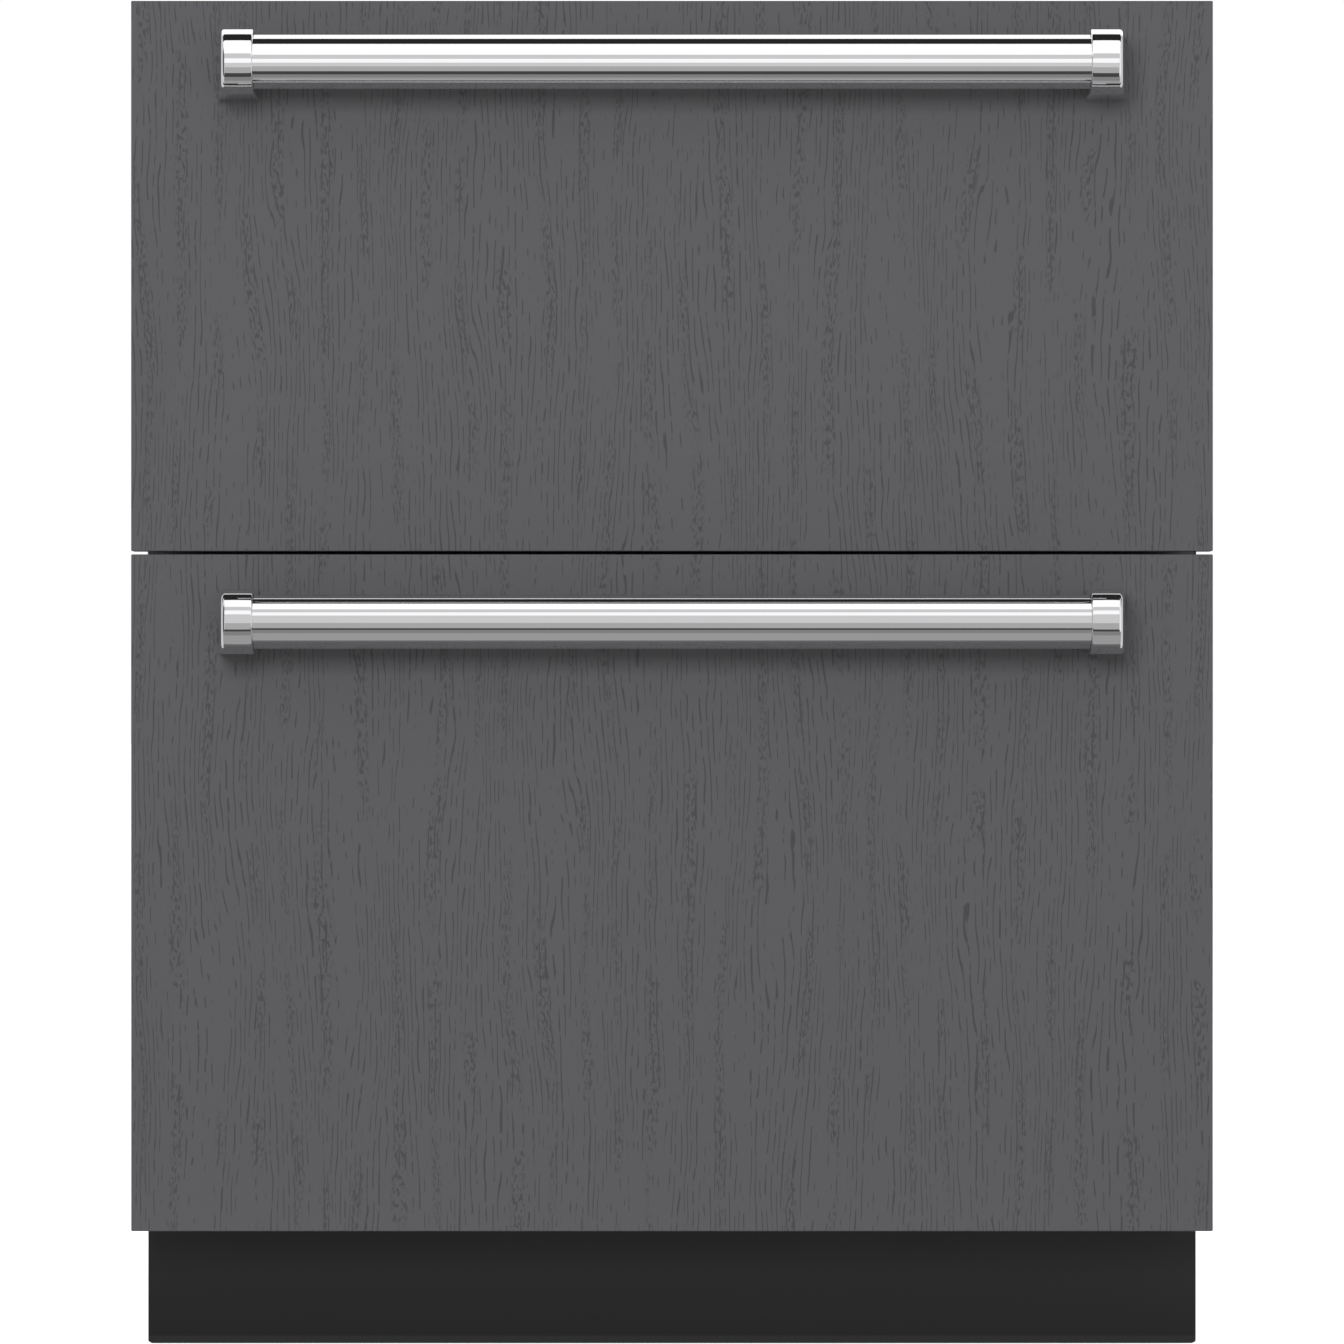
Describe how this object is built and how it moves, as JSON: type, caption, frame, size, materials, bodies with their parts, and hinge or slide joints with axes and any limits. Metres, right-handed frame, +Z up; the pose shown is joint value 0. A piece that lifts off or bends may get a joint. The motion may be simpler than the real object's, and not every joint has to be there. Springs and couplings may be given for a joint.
{
  "type": "undercounter drawer refrigerator",
  "caption": "Built-in undercounter refrigerator with two insulated pull-out drawers, flat stained wood fronts, polished tube handles and a recessed black toe kick.",
  "frame": {"origin": "on the floor, under the middle of the closed appliance's box, handles included", "axes": "+X to the right of a person who faces it, +Y to its back, +Z up; the drawers open towards -Y"},
  "size_m": [0.684, 0.672, 0.858],
  "materials": {
    "stained_oak": "satin",
    "polished_steel": "polished",
    "kick_black": "matte",
    "front_steel": "satin",
    "case_steel": "satin",
    "galvanised_steel": "satin",
    "slide_steel": "satin",
    "screw_steel": "satin",
    "frame_plastic": "satin",
    "foam": "matte",
    "liner_plastic": "satin",
    "drawer_aluminium": "satin",
    "drawer_floor": "satin",
    "clear_plastic": "gloss",
    "gasket_rubber": "matte",
    "light_lens": "satin",
    "touch_panel": "gloss",
    "fin_aluminium": "satin",
    "coil_black": "satin",
    "compressor_black": "gloss",
    "rubber": "matte",
    "fan_plastic": "satin",
    "fan_white": "satin",
    "box_plastic": "matte",
    "copper": "satin",
    "foot_plastic": "satin"
  },
  "bodies": {
    "cabinet": {"side_panel_left": "case_steel", "side_panel_right": "case_steel", "top_panel": "case_steel", "back_panel": "galvanised_steel", "base_pan": "galvanised_steel", "machine_bulkhead": "galvanised_steel", "front_frame": "frame_plastic", "inner_liner": "liner_plastic", "insulation": "foam", "kickplate": "kick_black", "rear_cover": "galvanised_steel", "rear_cover_screws": "screw_steel", "counter_brackets": "galvanised_steel", "control_panel": "touch_panel", "light_bars": "light_lens", "evaporator_coil": "fin_aluminium", "evaporator_cover": "liner_plastic", "evaporator_fan_motor": "fan_plastic", "compressor": "compressor_black", "compressor_grommets": "rubber", "condenser_coil": "coil_black", "condenser_fan_shroud": "fan_plastic", "condenser_fan_motor": "fan_plastic", "drain_pan": "box_plastic", "refrigerant_lines": "copper", "electronics_box": "box_plastic", "cord_gland": "fan_plastic", "upper_cabinet_rails": "slide_steel", "lower_cabinet_rails": "slide_steel"},
    "evaporator_fan": {"evaporator_fan_blade": "fan_white"},
    "condenser_fan": {"condenser_fan_blade": "fan_plastic"},
    "upper_drawer": {"upper_overlay_panel": "stained_oak", "upper_front_shell": "front_steel", "upper_front_foam": "foam", "upper_front_liner": "liner_plastic", "upper_gasket": "gasket_rubber", "upper_handle_bar": "polished_steel", "upper_handle_posts": "polished_steel", "upper_handle_screws": "screw_steel", "upper_drawer_walls": "drawer_aluminium", "upper_drawer_floor": "drawer_floor", "upper_drawer_rails": "slide_steel"},
    "lower_drawer": {"lower_overlay_panel": "stained_oak", "lower_front_shell": "front_steel", "lower_front_foam": "foam", "lower_front_liner": "liner_plastic", "lower_gasket": "gasket_rubber", "lower_handle_bar": "polished_steel", "lower_handle_posts": "polished_steel", "lower_handle_screws": "screw_steel", "lower_drawer_walls": "drawer_aluminium", "lower_drawer_floor": "drawer_floor", "lower_drawer_rails": "slide_steel"},
    "upper_middle_slides": {"upper_middle_rails": "slide_steel"},
    "lower_middle_slides": {"lower_middle_rails": "slide_steel"},
    "divider": {"upper_divider": "clear_plastic"},
    "foot_front_left": {"foot_front_left": "foot_plastic"},
    "foot_front_right": {"foot_front_right": "foot_plastic"},
    "foot_back_left": {"foot_back_left": "foot_plastic"},
    "foot_back_right": {"foot_back_right": "foot_plastic"}
  },
  "joints": [
    {"name": "upper_drawer_slide", "type": "slide", "parent": "cabinet", "child": "upper_drawer", "axis": [0, -1, 0], "range_m": [0, 0.38]},
    {"name": "upper_middle_slide", "type": "slide", "parent": "cabinet", "child": "upper_middle_slides", "axis": [0, -1, 0], "range_m": [0, 0.19]},
    {"name": "lower_drawer_slide", "type": "slide", "parent": "cabinet", "child": "lower_drawer", "axis": [0, -1, 0], "range_m": [0, 0.38]},
    {"name": "lower_middle_slide", "type": "slide", "parent": "cabinet", "child": "lower_middle_slides", "axis": [0, -1, 0], "range_m": [0, 0.19]},
    {"name": "divider_slide", "type": "slide", "parent": "upper_drawer", "child": "divider", "axis": [0, 1, 0], "range_m": [-0.18, 0.18]},
    {"name": "evaporator_fan_spin", "type": "hinge", "parent": "cabinet", "child": "evaporator_fan", "pos_m": [0, 0.235, 0.7268], "axis": [0, 1, 0], "continuous": true},
    {"name": "condenser_fan_spin", "type": "hinge", "parent": "cabinet", "child": "condenser_fan", "pos_m": [0.13, 0.2445, 0.107], "axis": [1, 0, 0], "continuous": true},
    {"name": "foot_front_left_screw", "type": "slide", "parent": "cabinet", "child": "foot_front_left", "axis": [0, 0, -1], "range_m": [0, 0.025]},
    {"name": "foot_front_right_screw", "type": "slide", "parent": "cabinet", "child": "foot_front_right", "axis": [0, 0, -1], "range_m": [0, 0.025]},
    {"name": "foot_back_left_screw", "type": "slide", "parent": "cabinet", "child": "foot_back_left", "axis": [0, 0, -1], "range_m": [0, 0.025]},
    {"name": "foot_back_right_screw", "type": "slide", "parent": "cabinet", "child": "foot_back_right", "axis": [0, 0, -1], "range_m": [0, 0.025]}
  ],
  "couplings": [
    {"joint": "upper_middle_slide", "follows": "upper_drawer_slide", "ratio": 0.5},
    {"joint": "lower_middle_slide", "follows": "lower_drawer_slide", "ratio": 0.5}
  ]
}
